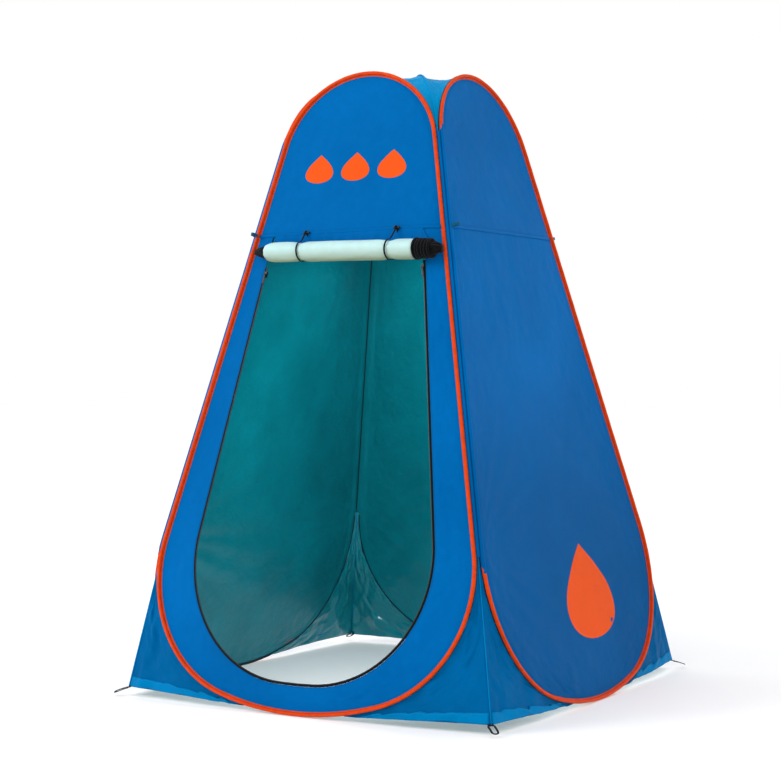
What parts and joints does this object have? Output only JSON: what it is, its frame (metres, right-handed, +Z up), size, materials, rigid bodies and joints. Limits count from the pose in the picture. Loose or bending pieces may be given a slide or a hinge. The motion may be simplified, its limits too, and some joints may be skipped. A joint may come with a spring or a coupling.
{
  "type": "pop-up privacy shower tent",
  "caption": "Square pop-up privacy tent with sprung hoop walls, a tall arched doorway, rolled-up door and open floor.",
  "frame": {"origin": "middle of the floor, on the ground", "axes": "+Z up; the doorway faces -Y; +X is to the right of someone looking in at the doorway"},
  "size_m": [1.3354, 1.3354, 1.9006],
  "materials": {
    "spring_steel": "satin",
    "crimp": "satin",
    "piping": "woven polyester tape",
    "front_cloth": "coated polyester, satin",
    "side_cloth": "coated polyester, satin",
    "corner_cloth": "coated polyester, loose",
    "roof_cloth": "coated polyester, thin",
    "webbing": "woven webbing",
    "door_cloth": "silver coated polyester",
    "cord": "braided cord",
    "zip_tape": "woven tape with coil teeth",
    "zip_hardware": "black enamel",
    "toggle": "moulded"
  },
  "bodies": {
    "front_wall": {"front_hoop": "spring_steel", "front_ferrule": "crimp", "front_sleeve": "piping", "front_header": "front_cloth", "door_surround": "front_cloth", "front_gusset_left": "corner_cloth", "front_gusset_right": "corner_cloth", "front_hems": "corner_cloth", "front_roof_petal": "roof_cloth", "front_peg_loop": "webbing", "front_guy_tab": "webbing", "sleeve_join": "piping", "zip_tape": "zip_tape", "door_roll": "door_cloth", "roll_zip_turns": "zip_tape", "door_tie_left": "cord", "door_tie_right": "cord", "toggle_left": "toggle", "toggle_right": "toggle"},
    "right_wall": {"right_hoop": "spring_steel", "right_ferrule": "crimp", "right_sleeve": "piping", "right_upper_panel": "side_cloth", "right_lower_panel": "side_cloth", "right_gusset_left": "corner_cloth", "right_gusset_right": "corner_cloth", "right_hems": "corner_cloth", "right_roof_petal": "roof_cloth", "right_peg_loop": "webbing", "right_guy_tab": "webbing"},
    "back_wall": {"back_hoop": "spring_steel", "back_ferrule": "crimp", "back_sleeve": "piping", "back_upper_panel": "side_cloth", "back_lower_panel": "side_cloth", "back_gusset_left": "corner_cloth", "back_gusset_right": "corner_cloth", "back_hems": "corner_cloth", "back_roof_petal": "roof_cloth", "back_peg_loop": "webbing", "back_guy_tab": "webbing"},
    "left_wall": {"left_hoop": "spring_steel", "left_ferrule": "crimp", "left_sleeve": "piping", "left_upper_panel": "side_cloth", "left_lower_panel": "side_cloth", "left_gusset_left": "corner_cloth", "left_gusset_right": "corner_cloth", "left_hems": "corner_cloth", "left_roof_petal": "roof_cloth", "left_peg_loop": "webbing", "left_guy_tab": "webbing"},
    "slider_left": {"slider_left": "zip_hardware"},
    "pull_left": {"pull_left": "zip_hardware"},
    "slider_right": {"slider_right": "zip_hardware"},
    "pull_right": {"pull_right": "zip_hardware"}
  },
  "joints": [
    {"name": "fold_right", "type": "hinge", "parent": "front_wall", "child": "right_wall", "pos_m": [0.657, -0.657, 0], "axis": [0.2144, -0.2144, -0.9529], "range_deg": [0, 82.6], "stiffness_Nm_per_rad": 2, "springref_deg": -20.05, "deforming": ["front_gusset_left", "front_gusset_right", "front_hems", "front_roof_petal", "right_gusset_left", "right_gusset_right", "right_hems", "right_roof_petal"]},
    {"name": "fold_left", "type": "hinge", "parent": "front_wall", "child": "left_wall", "pos_m": [-0.657, -0.657, 0], "axis": [-0.2144, -0.2144, -0.9529], "range_deg": [0, 85.1], "deforming": ["left_gusset_left", "left_gusset_right", "left_hems", "left_roof_petal"]},
    {"name": "fold_back", "type": "hinge", "parent": "right_wall", "child": "back_wall", "pos_m": [0.657, 0.657, 0], "axis": [-0.2144, -0.2144, 0.9529], "range_deg": [0, 85.1], "deforming": ["back_gusset_left", "back_gusset_right", "back_hems", "back_roof_petal"]},
    {"name": "zip_left", "type": "slide", "parent": "front_wall", "child": "slider_left", "axis": [-0.1541, -0.2169, -0.964], "range_m": [0, 0.66]},
    {"name": "pull_swing_left", "type": "hinge", "parent": "slider_left", "child": "pull_left", "pos_m": [-0.28031, -0.38226, 1.28574], "axis": [-0.988, 0.0338, 0.1504], "range_deg": [0, 110]},
    {"name": "zip_right", "type": "slide", "parent": "front_wall", "child": "slider_right", "axis": [0.1541, -0.2169, -0.964], "range_m": [0, 0.66]},
    {"name": "pull_swing_right", "type": "hinge", "parent": "slider_right", "child": "pull_right", "pos_m": [0.28031, -0.38226, 1.28574], "axis": [-0.988, -0.0338, -0.1504], "range_deg": [0, 110]}
  ],
  "couplings": [
    {"joint": "fold_left", "follows": "fold_right", "ratio": 1.025},
    {"joint": "fold_back", "follows": "fold_right", "ratio": 1.025}
  ]
}
